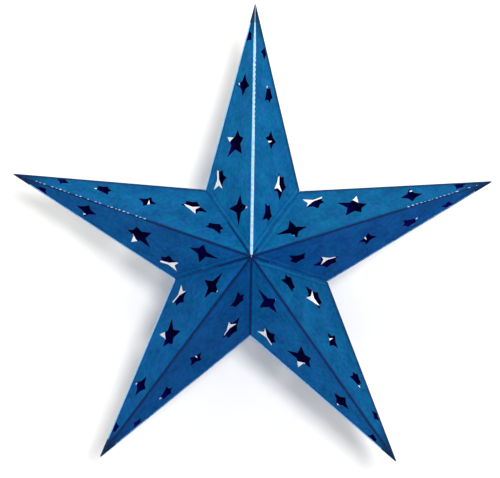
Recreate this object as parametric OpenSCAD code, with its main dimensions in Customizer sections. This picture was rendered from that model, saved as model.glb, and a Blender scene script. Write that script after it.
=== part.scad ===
// Folding five-pointed star lantern in die-cut card.
// Five hollow pyramid arms, each creased from one sheet: two facets in front,
// two behind, glued along the valleys and the back ridges. The top arm is open
// along both ridges, where two closure flaps and a white strip shut the star.
// Millimetres. Origin at the top tip, +Z up, the front faces -Y.

/* [Star] */
// distance from the star's centre to each tip
tip_radius = 315; // [150:5:450]
// distance from the star's centre to the notches between arms
notch_radius = 100; // [50:1:150]
// depth from the outline plane to the front or back apex
half_depth = 105; // [50:1:160]
// how far each tip is blunted
tip_trim = 1; // [1:0.5:8]

/* [Card] */
// card thickness
card_t = 0.4; // [0.3:0.05:0.8]
// gap left at each front crease
crease_gap = 0.2; // [0.1:0.05:0.6]
// how far the back ridge edges stand off the fold line
back_ridge_gap = 1.0; // [0.5:0.1:4]
// how far the back valley edges stand off the fold line
back_valley_gap = 0.6; // [0.4:0.1:3]
// corner cut off each facet at the front apex
front_trim = 4; // [2:0.5:10]
// corner cut off each facet at the back apex
back_trim = 9; // [4:0.5:20]

/* [Tabs] */
// width of the glue tabs along the valleys
valley_tab_w = 9; // [5:0.5:14]
// distance of the valley tabs from the apex
valley_tab_start = 22; // [15:1:40]
// width of the glue tabs along the back ridges
ridge_tab_w = 7; // [4:0.5:12]
// distance of the ridge tabs from the fold line
ridge_tab_start = 6; // [5:0.5:10]
// width of the two closure flaps in the top arm
flap_w = 7; // [4:0.5:10]
// width of the white strip on the open front ridge
strip_w = 4.2; // [2:0.2:8]
// thickness of the white strip
strip_t = 0.15; // [0.1:0.05:0.4]

/* [Punched stars] */
// size of the punched stars against their normal size
hole_scale = 1; // [0.7:0.05:1.1]
// how deep the waists between a punched star's points are cut
hole_waist = 0.42; // [0.3:0.02:0.6]

/* [Hidden] */
A = sqrt(tip_radius * tip_radius + half_depth * half_depth);   // ridge length
B = sqrt(notch_radius * notch_radius + half_depth * half_depth); // valley length
C = sqrt(tip_radius * tip_radius + notch_radius * notch_radius
    - 2 * tip_radius * notch_radius * cos(36));                // outline edge
NX = (A * A + C * C - B * B) / (2 * A);                        // notch in the facet's own plane
NY = sqrt(C * C - NX * NX);
card_blue = [0.03, 0.30, 0.60];
tab_blue = [0.05, 0.24, 0.48];
strip_white = [0.90, 0.93, 0.96];
PHI = [0, 72, 144, 216, 288]; // arm directions, clockwise from the top

// Punched stars: centre along the ridge from the tip, centre off the ridge,
// points, reach along, reach across, turn.
LONG_FRONT = [[41, 11, 4, 9, 5, 14], [103, 20, 4, 14, 12, 8], [177, 35, 5, 20, 19, 48],
    [216, 65, 5, 14, 14, 51], [265, 25, 4, 20, 16, 0]];
SHORT_FRONT = [[61, 18.5, 4, 9, 5, 0], [114, 29, 5, 11, 10, 15], [172, 35, 4, 13, 11, 0],
    [225, 55, 5, 17, 13, 20], [269, 30, 5, 13, 10, 20]];
LONG_BACK = [[65, 20, 4, 8, 5, 12], [89, 30, 4, 11, 6, 0], [157, 50, 5, 14, 12, 12],
    [216, 75, 5, 15, 12, 20], [274, 14, 4, 14, 6, 0]];
SHORT_BACK = [[77, 20, 5, 7, 6, 14], [94, 26, 4, 9, 7, 0], [174, 26, 5, 13, 10, 40],
    [223, 51, 5, 14, 12, 52], [290, 17, 4, 8, 8, 45]];

function aim(p) = [sin(p), 0, cos(p)];
function unit(v) = v / norm(v);

// The plane of one facet. side: 1 clockwise of the arm's middle, -1 the other
// way. face: -1 front, 1 back. x runs down the ridge, y towards the notch.
function tip(k) = tip_radius * aim(PHI[k]);
function notch(k, side) = notch_radius * aim(PHI[k] + 36 * side);
function ax(k, face) = unit([0, face * half_depth, 0] - tip(k));
function ay(k, side, face) = let (w = notch(k, side) - tip(k), x = ax(k, face)) unit(w - (w * x) * x);

module in_facet(k, side, face)
    let (x = ax(k, face), y = ay(k, side, face), z = cross(x, y), o = tip(k) - [0, 0, tip_radius])
        multmatrix([[x[0], y[0], z[0], o[0]], [x[1], y[1], z[1], o[1]],
            [x[2], y[2], z[2], o[2]], [0, 0, 0, 1]]) children();

// A sheet of the card: d from the inner face outwards, t thick.
module sheet(side, face, d, t)
    translate([0, 0, side * face < 0 ? d : -d - t]) linear_extrude(height = t) children();

// Meeting point of two lines, each given as normal . p = offset.
function meet(n1, c1, n2, c2) = let (q = n1[0] * n2[1] - n1[1] * n2[0])
    [(c1 * n2[1] - c2 * n1[1]) / q, (n1[0] * c2 - n2[0] * c1) / q];

// Inward normals of the ridge, outline and valley edges in the facet's plane.
N_RIDGE = [0, 1];
N_OUT = [NY, -NX] / C;
N_VAL = [-NY, NX - A] / B;
VAL_C = N_VAL * [A, 0];
// the valley folds about the card's outer faces
valley_fold = card_t * tan(31.2);

function facet_outline(face) =
    let (g1 = face < 0 ? crease_gap : back_ridge_gap,
        g3 = valley_fold + (face < 0 ? crease_gap : back_valley_gap),
        tr = face < 0 ? front_trim : back_trim,
        pt = meet(N_RIDGE, g1, N_OUT, crease_gap),
        pn = meet(N_OUT, crease_gap, N_VAL, VAL_C + g3),
        pf = meet(N_RIDGE, g1, N_VAL, VAL_C + g3))
    [pt + [tip_trim, 0], [pf[0] - tr, g1], pf + tr * unit(pn - pf),
        pn + unit(pf - pn), pn + unit(pt - pn), pt + tip_trim * unit(pn - pt)];

module punched_star(s)
    translate([s[0], s[1]]) rotate(s[5]) scale([s[3], s[4]] * hole_scale)
        polygon([for (i = [0 : 2 * s[2] - 1]) let (q = 180 * i / s[2], m = i % 2 == 0 ? 1 : hole_waist)
            [m * cos(q), m * sin(q)]]);

// One facet of an arm: a card triangle with its row of punched stars.
module facet(k, side, face, stars)
    color(card_blue) in_facet(k, side, face) sheet(side, face, 0, card_t) difference() {
        polygon(facet_outline(face));
        for (s = stars) punched_star(s);
    }

// A glue tab on the inner face, beside the valley.
module valley_tab(k, side, face)
    color(tab_blue) in_facet(k, side, face) sheet(side, face, -card_t, card_t)
        let (u = unit([NX, NY] - [A, 0]), p0 = [A, 0] + N_VAL * (valley_fold + back_valley_gap + 0.2),
            lo = valley_tab_start, hi = B - 9)
        polygon([p0 + lo * u, p0 + hi * u, p0 + (hi - 8) * u + valley_tab_w * N_VAL,
            p0 + (lo + 8) * u + valley_tab_w * N_VAL]);

// A glue tab on the inner face, beside the back ridge.
module ridge_tab(k, side)
    color(tab_blue) in_facet(k, side, 1) sheet(side, 1, -card_t, card_t)
        polygon([[46, ridge_tab_start], [A - 40, ridge_tab_start], [A - 48, ridge_tab_start + ridge_tab_w],
            [64, ridge_tab_start + ridge_tab_w]]);

// A closure flap, which tucks behind the left page of the top arm.
module closure_flap(face)
    color(tab_blue) in_facet(0, -1, face) sheet(-1, face, -card_t - 0.05, card_t)
        polygon([[44, back_ridge_gap], [A - 30, back_ridge_gap], [A - 38, back_ridge_gap + flap_w],
            [58, back_ridge_gap + flap_w]]);

module top_arm_left_front() facet(0, -1, -1, LONG_FRONT);
module top_arm_left_back() facet(0, -1, 1, LONG_BACK);
module top_arm_right_front() facet(0, 1, -1, SHORT_FRONT);
module top_arm_right_back() facet(0, 1, 1, SHORT_BACK);
module right_arm_upper_front() facet(1, -1, -1, LONG_FRONT);
module right_arm_upper_back() facet(1, -1, 1, LONG_BACK);
module right_arm_lower_front() facet(1, 1, -1, SHORT_FRONT);
module right_arm_lower_back() facet(1, 1, 1, SHORT_BACK);
module lower_right_arm_outer_front() facet(2, -1, -1, SHORT_FRONT);
module lower_right_arm_outer_back() facet(2, -1, 1, SHORT_BACK);
module lower_right_arm_inner_front() facet(2, 1, -1, LONG_FRONT);
module lower_right_arm_inner_back() facet(2, 1, 1, LONG_BACK);
module lower_left_arm_inner_front() facet(3, -1, -1, SHORT_FRONT);
module lower_left_arm_inner_back() facet(3, -1, 1, SHORT_BACK);
module lower_left_arm_outer_front() facet(3, 1, -1, LONG_FRONT);
module lower_left_arm_outer_back() facet(3, 1, 1, LONG_BACK);
module left_arm_lower_front() facet(4, -1, -1, LONG_FRONT);
module left_arm_lower_back() facet(4, -1, 1, LONG_BACK);
module left_arm_upper_front() facet(4, 1, -1, SHORT_FRONT);
module left_arm_upper_back() facet(4, 1, 1, SHORT_BACK);

module valley_tab_upper_left_front() valley_tab(4, 1, -1);
module valley_tab_upper_left_back() valley_tab(4, 1, 1);
module valley_tab_lower_left_front() valley_tab(3, 1, -1);
module valley_tab_lower_left_back() valley_tab(3, 1, 1);
module valley_tab_bottom_front() valley_tab(2, 1, -1);
module valley_tab_bottom_back() valley_tab(2, 1, 1);
module valley_tab_lower_right_front() valley_tab(1, 1, -1);
module valley_tab_lower_right_back() valley_tab(1, 1, 1);
module valley_tab_upper_right_front() valley_tab(0, 1, -1);
module valley_tab_upper_right_back() valley_tab(0, 1, 1);

module ridge_tab_left_arm() ridge_tab(4, -1);
module ridge_tab_lower_left_arm() ridge_tab(3, -1);
module ridge_tab_lower_right_arm() ridge_tab(2, -1);
module ridge_tab_right_arm() ridge_tab(1, -1);

module closure_flap_front() closure_flap(-1);
module closure_flap_back() closure_flap(1);

// The white strip along the front of the open ridge.
module closure_strip()
    color(strip_white) in_facet(0, -1, -1) sheet(-1, -1, card_t, strip_t)
        polygon([[16, crease_gap], [A - 6, crease_gap], [A - 10, strip_w], [34, strip_w]]);

top_arm_left_front();
top_arm_left_back();
left_arm_upper_front();
left_arm_upper_back();
left_arm_lower_front();
left_arm_lower_back();
lower_left_arm_outer_front();
lower_left_arm_outer_back();
lower_left_arm_inner_front();
lower_left_arm_inner_back();
lower_right_arm_inner_front();
lower_right_arm_inner_back();
lower_right_arm_outer_front();
lower_right_arm_outer_back();
right_arm_lower_front();
right_arm_lower_back();
right_arm_upper_front();
right_arm_upper_back();
top_arm_right_front();
top_arm_right_back();
valley_tab_upper_left_front();
valley_tab_upper_left_back();
valley_tab_lower_left_front();
valley_tab_lower_left_back();
valley_tab_bottom_front();
valley_tab_bottom_back();
valley_tab_lower_right_front();
valley_tab_lower_right_back();
valley_tab_upper_right_front();
valley_tab_upper_right_back();
ridge_tab_left_arm();
ridge_tab_lower_left_arm();
ridge_tab_lower_right_arm();
ridge_tab_right_arm();
closure_flap_front();
closure_flap_back();
closure_strip();
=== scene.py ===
import bpy
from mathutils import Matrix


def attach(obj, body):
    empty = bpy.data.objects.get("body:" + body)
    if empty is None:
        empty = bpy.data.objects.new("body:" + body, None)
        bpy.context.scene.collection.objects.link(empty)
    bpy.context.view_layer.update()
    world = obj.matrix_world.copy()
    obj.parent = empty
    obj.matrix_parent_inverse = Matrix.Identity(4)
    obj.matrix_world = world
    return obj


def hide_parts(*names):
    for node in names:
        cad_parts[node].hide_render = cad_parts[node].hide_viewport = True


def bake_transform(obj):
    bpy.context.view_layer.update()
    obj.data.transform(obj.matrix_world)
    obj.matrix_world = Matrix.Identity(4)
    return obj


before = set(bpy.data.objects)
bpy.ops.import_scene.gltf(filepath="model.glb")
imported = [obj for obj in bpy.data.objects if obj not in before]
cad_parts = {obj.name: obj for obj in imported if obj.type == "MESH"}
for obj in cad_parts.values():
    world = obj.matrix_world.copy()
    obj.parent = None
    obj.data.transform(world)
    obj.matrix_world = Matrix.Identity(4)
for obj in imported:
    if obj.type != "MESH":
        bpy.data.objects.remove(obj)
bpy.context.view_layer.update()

import bpy, bmesh, math
from mathutils import Vector, Matrix, noise
from mathutils.geometry import delaunay_2d_cdt

# ---------------------------------------------------------------- dimensions
R, RN, H, T = 0.315, 0.100, 0.105, 0.0004      # tip, notch, half depth, card
A = math.hypot(R, H)
B = math.hypot(RN, H)
C = math.sqrt(R * R + RN * RN - 2 * R * RN * math.cos(math.radians(36)))
NX = (A * A + C * C - B * B) / (2 * A)
NY = math.sqrt(C * C - NX * NX)
CEN = Vector((0, 0, -R))                        # the star's centre
APEX = {-1: CEN + Vector((0, -H, 0)), 1: CEN + Vector((0, H, 0))}

ARMS = ["top_arm", "right_arm", "lower_right_arm", "lower_left_arm", "left_arm"]
# page name -> (arm, side), in the order of the fold
PAGES = [("top_arm_left", 0, -1), ("left_arm_upper", 4, 1), ("left_arm_lower", 4, -1),
         ("lower_left_arm_outer", 3, 1), ("lower_left_arm_inner", 3, -1),
         ("lower_right_arm_inner", 2, 1), ("lower_right_arm_outer", 2, -1),
         ("right_arm_lower", 1, 1), ("right_arm_upper", 1, -1), ("top_arm_right", 0, 1)]
LONG = {"top_arm_left", "right_arm_upper", "lower_right_arm_inner", "lower_left_arm_outer", "left_arm_lower"}


def aim(deg):
    a = math.radians(deg)
    return Vector((math.sin(a), 0, math.cos(a)))


def tip(k):
    return CEN + R * aim(72 * k)


def notch(k, side):
    return CEN + RN * aim(72 * k + 36 * side)


class Facet:
    """One triangle of the star: in-plane x runs down the ridge from the tip, y towards the notch."""

    def __init__(self, name, k, side, face):
        self.name, self.k, self.side, self.face = name, k, side, face
        self.o = tip(k)
        self.x = (APEX[face] - self.o).normalized()
        w = notch(k, side) - self.o
        self.y = (w - w.dot(self.x) * self.x).normalized()
        n = self.x.cross(self.y)
        self.n = n if side * face < 0 else -n          # outward

    def at(self, u, v, d=0.0):
        return self.o + u * self.x + v * self.y + d * self.n


# ------------------------------------------------------------- punched stars
# Each is a centre (mm from the tip along the ridge, mm off the ridge) and its
# points as (angle, reach in mm, depth of the hollow after it), the angle
# measured from towards the centre.
FRONT_LONG = [
    ((41, 11.3), [(42, 7.6, 4.4), (112, 4.8, 4.6), (182, 12, 4.6), (240, 6.6, 5), (322, 9, 5)]),
    ((103, 20.5), [(9, 15.5, 7), (107, 15, 6.6), (190, 14.5, 6.2), (297, 13, 8.2)]),
    ((177, 34.7), [(49, 22.5, 9), (127, 22, 9.2), (190, 17.5, 10.5), (261, 15.5, 10), (324, 22, 8.5)]),
    ((216.2, 64.7), [(51, 16.5, 5.8), (155, 15.5, 10), (204, 12.5, 8), (276, 13.5, 8.5), (341, 14.5, 8)]),
    ((265, 25.5), [(0, 23.5, 6.4), (105, 20.5, 8), (186, 19, 8), (279, 17.5, 7.6)]),
]
FRONT_SHORT = [
    ((61, 19), [(0, 9.5, 4), (88, 5, 4), (180, 9, 4.4), (270, 6.6, 4.4)]),
    ((114.5, 29), [(20, 10, 6), (88, 8.8, 7), (163, 12, 8.5), (195, 13.5, 5), (323, 12, 6.5)]),
    ((172, 35.5), [(3, 12.8, 6), (91, 10.5, 6), (180, 13, 6), (272, 11.5, 6)]),
    ((225, 55.5), [(355, 21.5, 8.4), (90, 11.5, 9.2), (153, 14.5, 10.5), (194, 16, 6.6), (309, 17, 12)]),
    ((269, 30.5), [(15, 11.4, 7), (80, 9, 7.6), (159, 12.5, 9.6), (203, 13, 4.8), (320, 15.5, 7.4)]),
]
# The back's stars, each set by the spot on the front it stands behind.
BACK_LONG = [
    ((66, 20), [(12, 8, 3), (92, 6, 3), (190, 9, 3), (272, 6, 3)]),
    ((91, 30), [(357, 11.6, 5), (85, 6, 4.6), (180, 10, 4.6), (268, 8, 4.6)]),
    ((161, 49), [(12, 17, 8), (84, 11, 7), (150, 13, 8), (222, 15, 9), (300, 14.5, 11.2)]),
    ((218, 76), [(15, 16, 8), (85, 12, 7.5), (143, 12, 9), (203, 20, 9), (309, 22.5, 10)]),
    ((279, 11), [(0, 15, 5), (90, 8, 6.6), (183, 15, 6.6), (270, 8.5, 5)]),
]
BACK_SHORT = [
    ((79, 20), [(14, 8, 3.2), (86, 5.5, 3.2), (158, 7.5, 3.2), (230, 6, 3.2), (302, 7.5, 3.2)]),
    ((96, 26), [(2, 10.5, 5.4), (80, 8, 4.6), (170, 12, 4.6), (262, 9, 5.4)]),
    ((180, 25), [(40, 10, 2.8), (118, 15, 3.6), (205, 10, 5), (262, 11, 5), (334, 12, 5)]),
    ((227, 49.5), [(52, 12, 3.8), (165, 14.5, 5.6), (240, 12, 5.6), (312, 16, 4.6)]),
    ((294, 15), [(45, 9, 4), (135, 9, 4), (225, 9, 4), (315, 9, 4)]),
]


def behind(p):
    """The spot on the back page that stands behind p on the front, seen from two metres straight ahead."""
    d = p.x * H / A - p.y * (H * NX / A) / NY
    k = (2 + H) / (2 + H - 2 * d)
    return Vector((A - k * (A - p.x), k * p.y))


def star_poly(spec, face=-1):
    """The outline of one punched star."""
    (cx, cy), spikes = spec
    sp = sorted(spikes)
    pts = []
    for i, (a0, r0, hollow) in enumerate(sp):
        a1 = sp[(i + 1) % len(sp)][0]
        if a1 <= a0:
            a1 += 360
        for a, r in ((a0, r0), ((a0 + a1) / 2, hollow)):
            pts.append(Vector(((cx + r * math.cos(math.radians(a))) / 1000, (cy + r * math.sin(math.radians(a))) / 1000)))
    return [behind(p) for p in pts] if face > 0 else pts


def inside(p, poly):
    c = False
    for i in range(len(poly)):
        a, b = poly[i], poly[i - 1]
        if (a.y > p.y) != (b.y > p.y) and p.x < (b.x - a.x) * (p.y - a.y) / (b.y - a.y) + a.x:
            c = not c
    return c


def seg_dist(p, a, b):
    d = b - a
    t = max(0, min(1, (p - a).dot(d) / d.length_squared))
    return (p - a - t * d).length


def meet(n1, c1, n2, c2):
    q = n1[0] * n2[1] - n1[1] * n2[0]
    return Vector(((c1 * n2[1] - c2 * n1[1]) / q, (n1[0] * c2 - n2[0] * c1) / q))


N_RIDGE, N_OUT, N_VAL = (0, 1), (NY / C, -NX / C), (-NY / B, (NX - A) / B)
VAL_C = N_VAL[0] * A
VAL_FOLD = T * math.tan(math.radians(31.2))


def facet_outline(face):
    gap = 0.00025
    g3 = VAL_FOLD + gap
    pt, pn, pf = meet(N_RIDGE, gap, N_OUT, gap), meet(N_OUT, gap, N_VAL, VAL_C + g3), meet(N_RIDGE, gap, N_VAL, VAL_C + g3)
    tr = 0.0006 if face < 0 else 0.0015
    e1, e2 = (pn - pf).normalized(), (pt - pn).normalized()
    return [pt + Vector((0.0012, 0)), pf - Vector((tr, 0)), pf + tr * e1, pn - 0.0006 * e1, pn + 0.0006 * e2, pt - 0.0012 * e2]


# painted shade: how dark each page's valley crease is painted at the centre and at the notch, and how clearly the
# painted shade and highlight of the tab beneath it show
VALLEY_AND_TAB_SHADE = {"top_arm_left": (1.0, 0.30, 0.8), "left_arm_upper": (0.9, 0.2, 0.0), "left_arm_lower": (1.0, 0.15, 0.6),
               "lower_left_arm_outer": (0.9, 0.2, 0.3), "lower_left_arm_inner": (1.0, 1.0, 0.2), "lower_right_arm_inner": (1.0, 1.0, 0.3),
               "lower_right_arm_outer": (0.45, 0.2, 0.9), "right_arm_lower": (0.45, 0.15, 0.5), "right_arm_upper": (0.3, 0.10, 0.5),
               "top_arm_right": (0.25, 0.08, 0.9)}
# how much green and blue each page shows: partly uneven ink, partly painted light and shade, with the two darkest pages
# facing downward
PAGE_INK_AND_SHADE = {"top_arm_left": (1.18, 1.04), "left_arm_upper": (0.92, 0.85), "left_arm_lower": (0.90, 0.98),
        "lower_left_arm_outer": (0.94, 0.98), "lower_left_arm_inner": (0.63, 0.76), "lower_right_arm_inner": (1.02, 1.04),
        "lower_right_arm_outer": (0.97, 0.89), "right_arm_lower": (0.66, 0.83), "right_arm_upper": (0.97, 0.85),
        "top_arm_right": (1.09, 0.98)}
# how pale each page's outline crease is: partly worn card, partly a painted highlight on the lower and left-facing
# edges; the other edges get a dark edge of painted shade
PALE_EDGE = {"top_arm_left": 1.0, "left_arm_lower": 0.85, "lower_left_arm_outer": 0.9, "lower_left_arm_inner": 0.35,
             "lower_right_arm_inner": 0.75, "right_arm_lower": 0.45}


def ridge_mark(page, u):
    """How dark the ridge crease is, u mm from the tip."""
    if page.startswith("left_arm"):
        return min(1.0, max(0.12, (u - 175) / 30))
    if page.startswith("right_arm"):
        return min(1.0, max(0.12, (u - 105) / 30))
    if page == "top_arm_right":
        return 0.85 if 80 < u < 175 else 0.25
    return 0.0 if page == "top_arm_left" else 1.0


def resample(poly, step):
    out = []
    for i, a in enumerate(poly):
        b = poly[(i + 1) % len(poly)]
        n = max(1, round((b - a).length / step))
        out += [a.lerp(b, j / n) for j in range(n)]
    return out


def new_obj(name, verts, faces, mats, smooth=False):
    me = bpy.data.meshes.new(name)
    me.from_pydata([tuple(v) for v in verts], [], faces)
    me.validate()
    ob = bpy.data.objects.new(name, me)
    bpy.context.collection.objects.link(ob)
    for m in mats:
        me.materials.append(m)
    if smooth:
        for p in me.polygons:
            p.use_smooth = True
    return ob


def build_panel(f, specs, mats):
    """One creased facet of card with its punched stars: an outer sheet, an inner sheet and cut edges between."""
    outline = resample(facet_outline(f.face), 0.006)
    holes = [star_poly(s, f.face) for s in specs]
    loops = [outline] + [resample(h, 0.0035) for h in holes]
    pts, edges = [], []
    for lp in loops:
        n0 = len(pts)
        pts += lp
        edges += [(n0 + i, n0 + (i + 1) % len(lp)) for i in range(len(lp))]
    # rows of inner points, a little staggered, clear of every cut
    segs = [(pts[a], pts[b]) for a, b in edges]
    step = 0.0075
    j = 0
    y = step * 0.6
    while y < NY:
        xx = step * (0.5 if j % 2 else 0.0)
        while xx < A:
            p = Vector((xx, y))
            if inside(p, outline) and not any(inside(p, h) for h in holes) and min(seg_dist(p, a, b) for a, b in segs) > 0.0026:
                pts.append(p)
            xx += step
        y += step * 0.87
        j += 1
    vs, es, fs, *_ = delaunay_2d_cdt([Vector(p) for p in pts], edges, [], 0, 1e-7)
    tris = []
    for t in fs:
        c = (vs[t[0]] + vs[t[1]] + vs[t[2]]) / 3
        if inside(c, outline) and not any(inside(c, h) for h in holes):
            a, b, d = (vs[i] for i in t)
            tris.append(tuple(t) if (b - a).cross(d - a) > 0 else (t[0], t[2], t[1]))
    used = sorted({i for t in tris for i in t})
    ix = {o: i for i, o in enumerate(used)}
    P = [vs[i] for i in used]
    tris = [tuple(ix[i] for i in t) for t in tris]
    # the card bows a little between its folds, never at them
    ridge, out, val = (Vector((0, 0)), Vector((A, 0))), (Vector((0, 0)), Vector((NX, NY))), (Vector((A, 0)), Vector((NX, NY)))
    seed = Vector((f.k * 3.1 + f.side, f.face * 2.7, 4.2 * f.k))

    def lift(p):
        d = min(seg_dist(p, *ridge), seg_dist(p, *out), seg_dist(p, *val))
        k = min(1.0, d / 0.02)
        k = k * k * (3 - 2 * k)
        b = noise.noise(Vector((p.x * 11, p.y * 15, 0)) + seed) * 0.0010 + noise.noise(Vector((p.x * 32, p.y * 40, 3)) + seed) * 0.00022
        return k * (b - 0.0004)
    outer = [f.at(p.x, p.y, lift(p) + T) for p in P]
    inner = [f.at(p.x, p.y, lift(p)) for p in P]
    n = n_pts = len(P)
    flip = f.side * f.face > 0
    faces, kinds = [], []
    for a, b, c in tris:
        faces.append((a, c, b) if flip else (a, b, c)); kinds.append(0)
        faces.append((n + a, n + b, n + c) if flip else (n + a, n + c, n + b)); kinds.append(1)
    count = {}
    for t in tris:
        for i in range(3):
            e = (t[i], t[(i + 1) % 3])
            count[e] = count.get(e, 0) + 1
    for (a, b) in list(count):
        if (b, a) not in count:
            q = (a, n + a, n + b, b)
            faces.append(q[::-1] if flip else q); kinds.append(2)
    ob = new_obj("card_" + f.name, outer + inner, faces, mats)
    me = ob.data
    for p, kd in zip(me.polygons, kinds):
        p.material_index = kd
        p.use_smooth = kd < 2
    uv = me.uv_layers.new(name="card")
    co = [(p.x, p.y) for p in P] * 2
    for lp in me.loops:
        u, v = co[lp.vertex_index]
        uv.data[lp.index].uv = (u + 0.37 * f.k, v + 0.11 * f.side + 0.23 * f.face)
    # distances in mm from the three folds and the tip, and how strongly each mark and each painted crease shade shows
    # here
    v_in, v_out, tab = VALLEY_AND_TAB_SHADE[f.name[:f.name.rindex("_")]] if f.face < 0 else (0.5, 0.3, 0.0)
    page = f.name[:f.name.rindex("_")]
    vals = {n: [] for n in ("ridge_mm", "edge_mm", "valley_mm", "tip_mm", "ridge_mark", "valley_mark", "tab_mark", "centre")}
    for p in P * 2:
        t = min(1.0, max(0.0, (Vector((A, 0)) - p).length / B))
        vals["ridge_mm"].append(p.y * 1000)
        vals["edge_mm"].append((N_OUT[0] * p.x + N_OUT[1] * p.y) * 1000 * (1 if N_OUT[0] * A > 0 else -1))
        vals["valley_mm"].append(abs(N_VAL[0] * p.x + N_VAL[1] * p.y - VAL_C) * 1000)
        vals["tip_mm"].append(p.x * 1000)
        vals["ridge_mark"].append(ridge_mark(page, p.x * 1000) if f.face < 0 else 0.5)
        vals["valley_mark"].append(v_in + (v_out - v_in) * t)
        vals["tab_mark"].append(tab * (1 - 0.4 * t))
        vals["centre"].append(max(0.0, 1 - (Vector((A, 0)) - p).length / 0.012))
    for n, v in vals.items():
        me.attributes.new(n, "FLOAT", "POINT").data.foreach_set("value", v)
    tg, tb = PAGE_INK_AND_SHADE[page] if f.face < 0 else (1.0, 1.0)
    me.attributes.new("tone", "FLOAT_COLOR", "POINT").data.foreach_set("color", [tg, tg, tb, 1.0] * (2 * n_pts))
    # smooth shading only within each sheet
    me.set_sharp_from_angle(angle=math.radians(35))
    return ob


# ----------------------------------------------------------------- materials
def mat(name):
    m = bpy.data.materials.new(name)
    m.use_nodes = True
    nt = m.node_tree
    return m, nt, nt.nodes["Principled BSDF"]


def node(nt, kind, **kw):
    n = nt.nodes.new(kind)
    for k, v in kw.items():
        if k in n.inputs.keys():
            n.inputs[k].default_value = v
        else:
            setattr(n, k, v)
    return n


def ramp(nt, src, stops):
    r = nt.nodes.new("ShaderNodeValToRGB")
    el = r.color_ramp.elements
    while len(el) > 1:
        el.remove(el[-1])
    el[0].position, el[0].color = stops[0][0], (*stops[0][1], 1)
    for p, c in stops[1:]:
        e = el.new(p)
        e.color = (*c, 1)
    nt.links.new(src, r.inputs["Fac"])
    return r


def mix_rgb(nt, fac, a, b, blend="MIX"):
    m = nt.nodes.new("ShaderNodeMix")
    m.data_type, m.blend_type = "RGBA", blend
    fa, ca, cb = m.inputs[0], m.inputs[6], m.inputs[7]
    for sock, v in ((fa, fac), (ca, a), (cb, b)):
        if isinstance(v, (int, float)):
            sock.default_value = v
        elif isinstance(v, tuple):
            sock.default_value = (*v, 1)
        else:
            nt.links.new(v, sock)
    return m.outputs[2]


def math_node(nt, op, a, b=None, clamp=False):
    m = nt.nodes.new("ShaderNodeMath")
    m.operation, m.use_clamp = op, clamp
    for i, v in enumerate((a, b)):
        if v is None:
            continue
        if isinstance(v, (int, float)):
            m.inputs[i].default_value = v
        else:
            nt.links.new(v, m.inputs[i])
    return m.outputs[0]


def noise_node(nt, vec, scale, detail=4, rough=0.55):
    n = nt.nodes.new("ShaderNodeTexNoise")
    n.inputs["Scale"].default_value = scale
    n.inputs["Detail"].default_value = detail
    n.inputs["Roughness"].default_value = rough
    nt.links.new(vec, n.inputs["Vector"])
    return n


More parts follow.
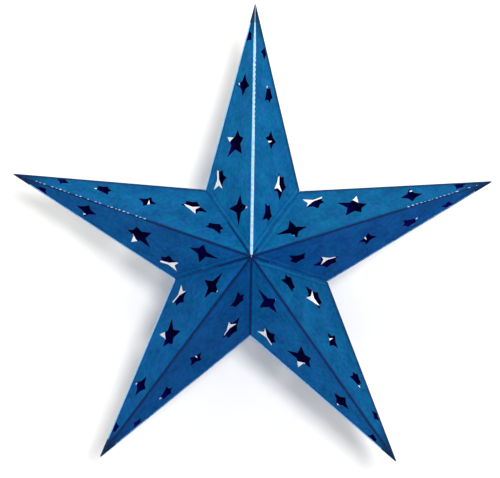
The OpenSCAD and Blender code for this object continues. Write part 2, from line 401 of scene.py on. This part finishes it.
def card_material(name, base, light, pale, rough=0.52, wear_and_shade=1.0):
    """Printed card: solid ink over a fibrous sheet, mottled a little, with the pale core showing where it is folded,
    painted shade in its creases, and painted shade and highlight over the glued tab.
    """
    m, nt, bs = mat(name)
    uv = nt.nodes.new("ShaderNodeUVMap"); uv.uv_map = "card"
    vec = uv.outputs["UV"]
    # fibres run along the sheet, so the noise is drawn out one way
    mp = nt.nodes.new("ShaderNodeMapping")
    mp.inputs["Scale"].default_value = (1, 3.2, 1)
    mp.inputs["Rotation"].default_value = (0, 0, math.radians(24))
    nt.links.new(vec, mp.inputs["Vector"])
    fibre = noise_node(nt, mp.outputs["Vector"], 420, 6, 0.62)
    cloud = noise_node(nt, vec, 38, 4, 0.6)
    grainy = noise_node(nt, vec, 190, 3, 0.5)
    k = math_node(nt, "ADD", math_node(nt, "MULTIPLY", cloud.outputs["Fac"], 0.56), math_node(nt, "MULTIPLY", grainy.outputs["Fac"], 0.44))
    ink = ramp(nt, k, [(0.36, base), (0.50, tuple((a + b) / 2 for a, b in zip(base, light))), (0.64, light)])
    # the ink leans greener in some patches and redder in others
    hue = noise_node(nt, vec, 64, 3, 0.6)
    tint = ramp(nt, hue.outputs["Fac"], [(0.36, (0.55, 1.10, 0.93)), (0.50, (1.0, 1.0, 1.0)), (0.66, (2.6, 0.97, 1.05))])
    col = mix_rgb(nt, 1.0, ink.outputs["Color"], tint.outputs["Color"], "MULTIPLY")
    # painted light and shade per page, mixed with the page's own ink tone, multiplies the colour
    tone = nt.nodes.new("ShaderNodeAttribute"); tone.attribute_name = "tone"
    col = mix_rgb(nt, 1.0, col, tone.outputs["Color"], "MULTIPLY")

    def field(n):
        x = nt.nodes.new("ShaderNodeAttribute"); x.attribute_name = n
        return x.outputs["Fac"]

    def close(dist, reach, power=1.0, start=0.0):
        """1 on the line, falling to 0 at reach mm."""
        x = math_node(nt, "ABSOLUTE", math_node(nt, "SUBTRACT", dist, start)) if start else dist
        x = math_node(nt, "SUBTRACT", 1.0, math_node(nt, "DIVIDE", x, reach), True)
        return math_node(nt, "POWER", x, power) if power != 1.0 else x
    spk = noise_node(nt, vec, 300, 4, 0.65)
    wob = math_node(nt, "MULTIPLY", math_node(nt, "SUBTRACT", cloud.outputs["Fac"], 0.5), 5.0)
    ridge, edge, valley, along = field("ridge_mm"), field("edge_mm"), field("valley_mm"), field("tip_mm")
    # creases: painted shade, the colour darkened along the valley folds and just inside the outline edges, where shade
    # falls; the ridges and the centre point are darkened the same way
    crease_shade = math_node(nt, "MULTIPLY", close(ridge, 3.2, 0.7), field("ridge_mark"))
    crease_shade = math_node(nt, "MAXIMUM", crease_shade, math_node(nt, "MULTIPLY", close(valley, 2.6, 0.7), field("valley_mark")))
    crease_shade = math_node(nt, "MAXIMUM", crease_shade, math_node(nt, "MULTIPLY", close(edge, 6.0, 0.8), 0.66))
    crease_shade = math_node(nt, "MAXIMUM", crease_shade, field("centre"))
    rag = ramp(nt, spk.outputs["Fac"], [(0.30, (0.55,) * 3), (0.55, (1.0,) * 3)])
    crease_shade = math_node(nt, "MULTIPLY", crease_shade, rag.outputs["Color"])
    crease_shade = math_node(nt, "MULTIPLY", crease_shade, 0.94 * wear_and_shade, True)
    # the step over the glued tab beneath is painted, not built: a line of painted shade with a painted highlight beside
    # it
    off = math_node(nt, "ADD", valley, wob)
    tab = field("tab_mark")
    low = math_node(nt, "MULTIPLY", close(off, 2.0, 1.0, 7.2), math_node(nt, "MULTIPLY", tab, 0.36))
    tab_highlight = math_node(nt, "MULTIPLY", close(off, 1.9, 1.0, 4.6), math_node(nt, "MULTIPLY", tab, 0.34))
    col = mix_rgb(nt, tab_highlight, col, tuple(c * 1.7 + 0.01 for c in light))
    col = mix_rgb(nt, low, col, tuple(c * 0.35 for c in base))
    # scuffs along the folds
    wear = math_node(nt, "MULTIPLY", close(math_node(nt, "MINIMUM", ridge, edge), 3.0, 2.0), math_node(nt, "GREATER_THAN", spk.outputs["Fac"], 0.62))
    col = mix_rgb(nt, math_node(nt, "MULTIPLY", wear, 0.22 * wear_and_shade), col, pale)
    col = mix_rgb(nt, crease_shade, col, (0.0006, 0.006, 0.055))
    # darker towards the very tip
    col = mix_rgb(nt, math_node(nt, "MULTIPLY", close(along, 46.0, 0.8), 0.97 * wear_and_shade), col, (0.0010, 0.006, 0.016))
    nt.links.new(col, bs.inputs["Base Color"])
    rr = ramp(nt, fibre.outputs["Fac"], [(0.3, (rough - 0.07,) * 3), (0.7, (rough + 0.10,) * 3)])
    nt.links.new(rr.outputs["Color"], bs.inputs["Roughness"])
    bp = nt.nodes.new("ShaderNodeBump")
    bp.inputs["Strength"].default_value = 0.22
    bp.inputs["Distance"].default_value = 0.00025
    hgt = math_node(nt, "ADD", fibre.outputs["Fac"], math_node(nt, "MULTIPLY", grainy.outputs["Fac"], 0.8))
    nt.links.new(hgt, bp.inputs["Height"])
    nt.links.new(bp.outputs["Normal"], bs.inputs["Normal"])
    bs.inputs["Specular IOR Level"].default_value = 0.015
    return m


def paper_material(name, a, b, scale=300, rough=0.75, coord="Object", bump=0.0001, shine=0.08):
    m, nt, bs = mat(name)
    tc = nt.nodes.new("ShaderNodeTexCoord")
    n1 = noise_node(nt, tc.outputs[coord], scale, 5, 0.6)
    n2 = noise_node(nt, tc.outputs[coord], scale * 4, 3, 0.6)
    col = ramp(nt, n1.outputs["Fac"], [(0.35, a), (0.65, b)])
    nt.links.new(col.outputs["Color"], bs.inputs["Base Color"])
    rr = ramp(nt, n2.outputs["Fac"], [(0.3, (rough - 0.08,) * 3), (0.7, (rough + 0.08,) * 3)])
    nt.links.new(rr.outputs["Color"], bs.inputs["Roughness"])
    bp = nt.nodes.new("ShaderNodeBump")
    bp.inputs["Strength"].default_value = 0.3
    bp.inputs["Distance"].default_value = bump
    nt.links.new(n2.outputs["Fac"], bp.inputs["Height"])
    nt.links.new(bp.outputs["Normal"], bs.inputs["Normal"])
    bs.inputs["Specular IOR Level"].default_value = shine
    return m


BLUE = card_material("blue_printed_card", (0.0008, 0.060, 0.208), (0.0030, 0.116, 0.334), (0.15, 0.32, 0.52))
INNER = card_material("card_inside", (0.007, 0.003, 0.160), (0.012, 0.006, 0.220), (0.04, 0.03, 0.24), 0.62, 0.3)
CORE = paper_material("card_core", (0.010, 0.030, 0.160), (0.05, 0.11, 0.30), 900)
SOFT = paper_material("fold_soft", (0.001, 0.045, 0.165), (0.002, 0.075, 0.240), 400, 0.7)
# painted shade: the dark of the valley folds; the ridges take the same dark line
FOLD_SHADE = paper_material("fold_line", (0.0006, 0.006, 0.050), (0.0015, 0.022, 0.120), 500, 0.7)
# outline creases: pale edges, partly worn card and partly painted highlight; dark edges of painted shade
EDGE_WEAR_AND_HIGHLIGHT = paper_material("fold_edge_worn", (0.16, 0.42, 0.82), (0.34, 0.62, 0.95), 420, 0.6)
EDGE_HALF_WEAR_AND_HIGHLIGHT = paper_material("fold_edge_rubbed", (0.004, 0.06, 0.22), (0.16, 0.38, 0.72), 380, 0.6)
EDGE_SHADE = paper_material("fold_edge_dark", (0.0008, 0.014, 0.060), (0.002, 0.040, 0.130), 420, 0.7)
WHITE = paper_material("white_strip", (0.26, 0.50, 0.74), (0.48, 0.72, 0.90), 260, 0.6)
STITCH = paper_material("white_stitch", (0.16, 0.38, 0.64), (0.50, 0.72, 0.90), 600, 0.6)

# --------------------------------------------------------------------- card
facets = {}
for name, k, side in PAGES:
    for face, word in ((-1, "front"), (1, "back")):
        f = Facet(f"{name}_{word}", k, side, face)
        facets[f.name] = f
        specs = {(-1, True): FRONT_LONG, (-1, False): FRONT_SHORT, (1, True): BACK_LONG, (1, False): BACK_SHORT}[(face, name in LONG)]
        ob = build_panel(f, specs, [BLUE, INNER, CORE])
        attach(ob, f.name)
        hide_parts(f.name)


def band(name, path, fa, fb, width, mats, bead=0.00012, width_at=None, pick=None):
    """A narrow strip along a fold: path(t) is a point on the fold, fa and fb the facets it joins, width its reach on each, and bead how proud it stands."""
    verts, faces, mi = [], [], []
    n = 60
    prof = [-1.0, -0.6, -0.25, 0.0, 0.25, 0.6, 1.0]
    for i in range(n + 1):
        t = i / n
        p, ina, inb, up = path(t)
        k = width_at(t) if width_at else 1.0
        wa, wb = (width, width) if isinstance(width, float) else width
        for s in prof:
            side = ina if s < 0 else inb
            nrm = fa.n if s < 0 else fb.n
            d = abs(s) * (wa if s < 0 else wb) * k
            verts.append(p + side * d + (nrm if s else up) * (T + bead * (1 - abs(s))) if s else p + up)
        for s in reversed(prof):
            side = ina if s < 0 else inb
            nrm = fa.n if s < 0 else fb.n
            d = abs(s) * (wa if s < 0 else wb) * k
            verts.append(p + side * d + nrm * (T * 0.45) if s else p + up * 0.3)
    m = 2 * len(prof)
    for i in range(n):
        for j in range(m):
            a, b = i * m + j, i * m + (j + 1) % m
            faces.append((a, b, b + m, a + m))
            mi.append(pick((i + 0.5) / n) if pick else 0)
    faces.append(tuple(range(m))[::-1]); mi.append(0)
    faces.append(tuple(n * m + j for j in range(m))); mi.append(0)
    ob = new_obj(name, verts, faces, mats, True)
    ob.data.polygons.foreach_set("material_index", mi)
    bm = bmesh.new(); bm.from_mesh(ob.data)
    bmesh.ops.recalc_face_normals(bm, faces=bm.faces)
    bm.to_mesh(ob.data); bm.free()
    ob.data.set_sharp_from_angle(angle=math.radians(50))
    return ob


def fold_path(p0, p1, fa, fb, a_off, b_off, valley=False):
    """Points along the fold from p0 to p1, with the directions that run into each facet and the outer planes' meeting point."""
    d = (p1 - p0).normalized()
    ina = fa.n.cross(d); ina = ina if ina.dot(a_off - p0) > 0 else -ina
    inb = fb.n.cross(d); inb = inb if inb.dot(b_off - p0) > 0 else -inb
    bis = (fa.n + fb.n).normalized()
    up = bis * (T / bis.dot(fa.n))
    return lambda t: (p0.lerp(p1, t), ina, inb, up)


order = [(n, k, s) for n, k, s in PAGES]
VNAME = ["upper_left", "lower_left", "bottom", "lower_right", "upper_right"]
vi = 0
for (na, ka, sa), (nb, kb, sb) in zip(order, order[1:]):
    fa, fb = facets[na + "_front"], facets[nb + "_front"]
    F = APEX[-1]
    if ka == kb:        # a ridge
        p0, p1 = tip(ka), F
        pth = fold_path(p0.lerp(p1, 0.006), p0.lerp(p1, 0.998), fa, fb, notch(ka, sa), notch(kb, sb))
        ob = band("fold_ridge_" + ARMS[ka], pth, fa, fb, 0.0009, [FOLD_SHADE], 0.00006)
        _, ina, inb, up = pth(0.5)
        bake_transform(ob)
    else:
        N = notch(ka, sa)
        pth = fold_path(F.lerp(N, 0.004), F.lerp(N, 0.99), fa, fb, tip(ka), tip(kb))
        # painted shade: each valley band is dark from the centre out to this fraction of its length, then plain card
        shade_to = (0.50, 0.42, 1.1, 0.22, 0.12)[vi]
        ob = band("fold_valley_" + VNAME[vi], pth, fa, fb, 0.0012, [FOLD_SHADE, SOFT], 0.00005, pick=lambda t: 0 if t < shade_to else 1)
        _, ina, inb, up = pth(0.5)
        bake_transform(ob)
        vi += 1
for name, k, s in PAGES:
    fa, fb = facets[name + "_front"], facets[name + "_back"]
    p0, p1 = tip(k), notch(k, s)
    pth = fold_path(p0.lerp(p1, 0.004), p0.lerp(p1, 0.998), fa, fb, APEX[-1], APEX[1])
    pale = PALE_EDGE.get(name, 0.0)
    # pale outline edges carry wear and painted highlight; the rest take the dark edge of painted shade
    ob = band("fold_outline_" + name, pth, fa, fb, (0.0022 if pale > 0.6 else 0.0024, 0.0009),
              [EDGE_WEAR_AND_HIGHLIGHT if pale > 0.6 else EDGE_HALF_WEAR_AND_HIGHLIGHT if pale else EDGE_SHADE, EDGE_SHADE], 0.00006, width_at=lambda t: min(1.0, 0.25 + t * 12),
              pick=lambda t: 1 if t < 0.10 else 0)
    _, ina, inb, up = pth(0.5)
    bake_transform(ob)


def stitches(name, f, u0, u1, pitch):
    """A row of little raised white stitches just beside a ridge."""
    verts, faces = [], []
    u = u0
    while u < u1:
        n = noise.noise(Vector((u * 0.31, 7.7, f.k)))
        m = noise.noise(Vector((u * 0.47, 1.3, f.k + 5)))
        ln, wd, off = 0.0014 + 0.0012 * n, 0.00075 + 0.0006 * m, 0.00100 + 0.0006 * m
        if noise.noise(Vector((u * 0.71, 4.4, f.k * 2))) < -0.22:       # some have rubbed off
            u += pitch
            continue
        lean = 0.35 + 0.4 * n
        base = len(verts)
        ring = 10
        for h, k in ((0.02, 1.0), (0.22, 0.86), (0.34, 0.5)):
            for j in range(ring):
                a = 2 * math.pi * j / ring
                x, y = ln * k * math.cos(a), wd * k * math.sin(a)
                verts.append(f.at(u / 1000 + x, max(0.0003, off + y + lean * x * 0.5), T + h / 1000))
        verts.append(f.at(u / 1000, off, T + 0.00038))
        for r in range(2):
            for j in range(ring):
                q = (base + r * ring + j, base + r * ring + (j + 1) % ring, base + (r + 1) * ring + (j + 1) % ring, base + (r + 1) * ring + j)
                faces.append(q)
        for j in range(ring):
            faces.append((base + 2 * ring + j, base + 2 * ring + (j + 1) % ring, base + 3 * ring))
        faces.append(tuple(base + j for j in reversed(range(ring))))
        u += pitch + 1.6 * n
    ob = new_obj(name, verts, faces, [STITCH], True)
    bm = bmesh.new(); bm.from_mesh(ob.data)
    bmesh.ops.recalc_face_normals(bm, faces=bm.faces)
    bm.to_mesh(ob.data); bm.free()
    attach(ob, f.name)
    return ob


stitches("stitches_left_arm", facets["left_arm_upper_front"], 34, 190, 5.6)
stitches("stitches_right_arm", facets["right_arm_upper_front"], 16, 122, 5.8)


def closure_strip():
    """The pale strip that covers the seam down the front of the top arm: ragged and narrow above, broad and even below."""
    fl, fr = facets["top_arm_left_front"], facets["top_arm_right_front"]
    bis = (fl.n + fr.n).normalized()
    verts, faces = [], []
    u0, u1, n = 26.0, 330.0, 420
    for i in range(n + 1):
        u = u0 + (u1 - u0) * i / n
        grow = min(1.0, max(0.0, (u - 150) / 40))
        grow = grow * grow * (3 - 2 * grow)
        thin = min(1.0, (u - u0) / 40 + 0.25)
        rag = noise.noise(Vector((u * 0.45, 3.1, 0)))
        tooth = 0.5 + 0.5 * math.cos(2 * math.pi * (u / 6.2))
        bite = (1 - grow) * (0.15 + 0.85 * min(1.0, max(0.0, (u - 60) / 20)))
        wl = (1.7 + 0.5 * rag) * thin * (1 - grow) + 2.0 * grow * min(1.0, (331 - u) / 3)
        wr = ((1.9 + 0.6 * rag) * thin - 1.35 * bite * tooth ** 3) * (1 - grow) + 2.0 * grow * min(1.0, (331 - u) / 3)
        low = min(1.0, (336 - u) / 24)                      # pressed thin towards the centre of the star
        edge, top = 0.0001 + 0.00016 * low, 0.0001 + 0.0003 * low
        row = [fl.at(u / 1000, wl / 1000, T + 0.0001), fl.at(u / 1000, wl / 1000, T + edge), fl.at(u / 1000, wl * 0.0004, T + top),
               fl.at(u / 1000, 0, 0) + bis * (T * 1.25 + top), fr.at(u / 1000, wr * 0.0004, T + top), fr.at(u / 1000, wr / 1000, T + edge), fr.at(u / 1000, wr / 1000, T + 0.0001),
               fl.at(u / 1000, 0, 0) + bis * (T * 1.25 + 0.0001)]
        verts += row
    m = 8
    for i in range(n):
        for j in range(m):
            a, b = i * m + j, i * m + (j + 1) % m
            faces.append((a, b, b + m, a + m))
    faces.append(tuple(range(m))[::-1])
    faces.append(tuple(n * m + j for j in range(m)))
    ob = new_obj("seam_strip", verts, faces, [WHITE], True)
    bm = bmesh.new(); bm.from_mesh(ob.data)
    bmesh.ops.recalc_face_normals(bm, faces=bm.faces)
    bm.to_mesh(ob.data); bm.free()
    ob.data.set_sharp_from_angle(angle=math.radians(50))
    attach(ob, fl.name)
    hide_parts("closure_strip")


closure_strip()


# ---------------------------------------------------------- carried-over CAD
for n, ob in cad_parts.items():
    if "tab" in n or "flap" in n:
        me = ob.data
        uvn = me.uv_layers.get("card")
        m = bpy.data.materials.get("card_tab") or paper_material("card_tab", (0.006, 0.060, 0.210), (0.010, 0.085, 0.270), 260, 0.6)
        for s in ob.material_slots:
            s.material = m

# -------------------------------------------------------------------- stage
def plane(name, corners, m):
    ob = new_obj(name, corners, [(0, 1, 2, 3)], [m])
    return ob


def wall_material():
    """A white wall that is solid from the front only, so that the star's back can be seen; its star-shaped glow behind
    the star is painted light that lightens the wall in the star's shadow.
    """
    m = bpy.data.materials.new("wall_white")
    m.use_nodes = True
    nt = m.node_tree
    nt.nodes.clear()
    out = nt.nodes.new("ShaderNodeOutputMaterial")
    tc = nt.nodes.new("ShaderNodeTexCoord")
    sp = nt.nodes.new("ShaderNodeSeparateXYZ")
    nt.links.new(tc.outputs["Object"], sp.inputs[0])
    gx, gz = sp.outputs["X"], math_node(nt, "ADD", sp.outputs["Z"], R)
    painted_glow = None
    # painted light: a soft star-shaped patch of glow just within the star's outline brightens the wall in the star's
    # shadow, where it shows through the holes
    for k in range(5):
        a = aim(72 * k)
        s = math_node(nt, "ADD", math_node(nt, "MULTIPLY", gx, a.x), math_node(nt, "MULTIPLY", gz, a.z))
        w = math_node(nt, "ABSOLUTE", math_node(nt, "SUBTRACT", math_node(nt, "MULTIPLY", gx, a.z), math_node(nt, "MULTIPLY", gz, a.x)))
        e = math_node(nt, "SUBTRACT", math_node(nt, "MULTIPLY", math_node(nt, "SUBTRACT", 0.333, s), 0.2436), math_node(nt, "MULTIPLY", w, 0.9699))
        e = math_node(nt, "DIVIDE", math_node(nt, "SUBTRACT", e, 0.002), 0.010, True)
        e = math_node(nt, "MULTIPLY", e, math_node(nt, "GREATER_THAN", s, 0.0))
        painted_glow = e if painted_glow is None else math_node(nt, "MAXIMUM", painted_glow, e)
    dif = nt.nodes.new("ShaderNodeBsdfDiffuse"); dif.inputs["Color"].default_value = (0.87, 0.86, 0.855, 1)
    em = nt.nodes.new("ShaderNodeEmission"); em.inputs["Color"].default_value = (1.0, 0.98, 0.98, 1); em.inputs["Strength"].default_value = 0.02
    nt.links.new(math_node(nt, "ADD", math_node(nt, "MULTIPLY", painted_glow, 0.30), 0.08), em.inputs["Strength"])
    add = nt.nodes.new("ShaderNodeAddShader")
    tr = nt.nodes.new("ShaderNodeBsdfTransparent")
    geo = nt.nodes.new("ShaderNodeNewGeometry")
    mx = nt.nodes.new("ShaderNodeMixShader")
    nt.links.new(dif.outputs[0], add.inputs[0]); nt.links.new(em.outputs[0], add.inputs[1])
    nt.links.new(geo.outputs["Backfacing"], mx.inputs[0])
    nt.links.new(add.outputs[0], mx.inputs[1]); nt.links.new(tr.outputs[0], mx.inputs[2])
    nt.links.new(mx.outputs[0], out.inputs["Surface"])
    return m


WALL_Y = H + 0.012
plane("wall", [(-4, WALL_Y, -0.9), (4, WALL_Y, -0.9), (4, WALL_Y, 3), (-4, WALL_Y, 3)], wall_material())
floor_m = paper_material("floor_pale", (0.56, 0.58, 0.62), (0.62, 0.64, 0.68), 6, 0.8)
plane("floor", [(-6, -6, -0.9), (6, -6, -0.9), (6, 6, -0.9), (-6, 6, -0.9)], floor_m)

world = bpy.data.worlds.new("soft")
bpy.context.scene.world = world
world.use_nodes = True
bg = world.node_tree.nodes["Background"]
bg.inputs["Strength"].default_value = 1.0
wt = world.node_tree
tc = wt.nodes.new("ShaderNodeTexCoord")
sx = wt.nodes.new("ShaderNodeSeparateXYZ")
wt.links.new(tc.outputs["Generated"], sx.inputs[0])
LOW, HIGH = (0.51, 0.505, 0.51), (0.30, 0.30, 0.30)
sky = ramp(wt, math_node(wt, "MULTIPLY", math_node(wt, "ADD", sx.outputs["Z"], 1.0), 0.5), [(0.45, LOW), (0.95, HIGH)])
wt.links.new(sky.outputs["Color"], bg.inputs["Color"])


def area(name, loc, aim_at, size, power, color=(1, 1, 1), shape="DISK"):
    d = bpy.data.lights.new(name, "AREA")
    d.shape, d.size, d.energy, d.color = shape, size, power, color
    ob = bpy.data.objects.new(name, d)
    ob.location = loc
    ob.rotation_euler = (Vector(aim_at) - Vector(loc)).to_track_quat("-Z", "Y").to_euler()
    bpy.context.collection.objects.link(ob)
    return ob


area("key", (0.62, -3.0, 0.20), CEN, 0.72, 65)
area("overhead", (-0.15, -0.9, 1.15), CEN, 1.4, 17.5, (1.0, 0.99, 0.86))
area("behind", (0.4, 2.6, 0.6), CEN, 1.6, 30)

# ------------------------------------------------------------------- camera
cam = bpy.data.cameras.new("camera")
cam.sensor_width = 36
D = 2.0
cam.lens = 800 * D * 36 / 500                   # 1.25 mm to the pixel at the outline plane
co = bpy.data.objects.new("camera", cam)
bpy.context.collection.objects.link(co)
roll = math.radians(0.9)
rot = Matrix.Rotation(math.radians(90), 4, "X") @ Matrix.Rotation(roll, 4, "Z")
co.matrix_world = Matrix.Translation((-0.002, -D, -R + 0.0207)) @ rot
cam.clip_start, cam.clip_end = 0.1, 50
bpy.context.scene.camera = co
bpy.context.scene.view_settings.view_transform = "Standard"
bpy.context.scene.view_settings.look = "None"
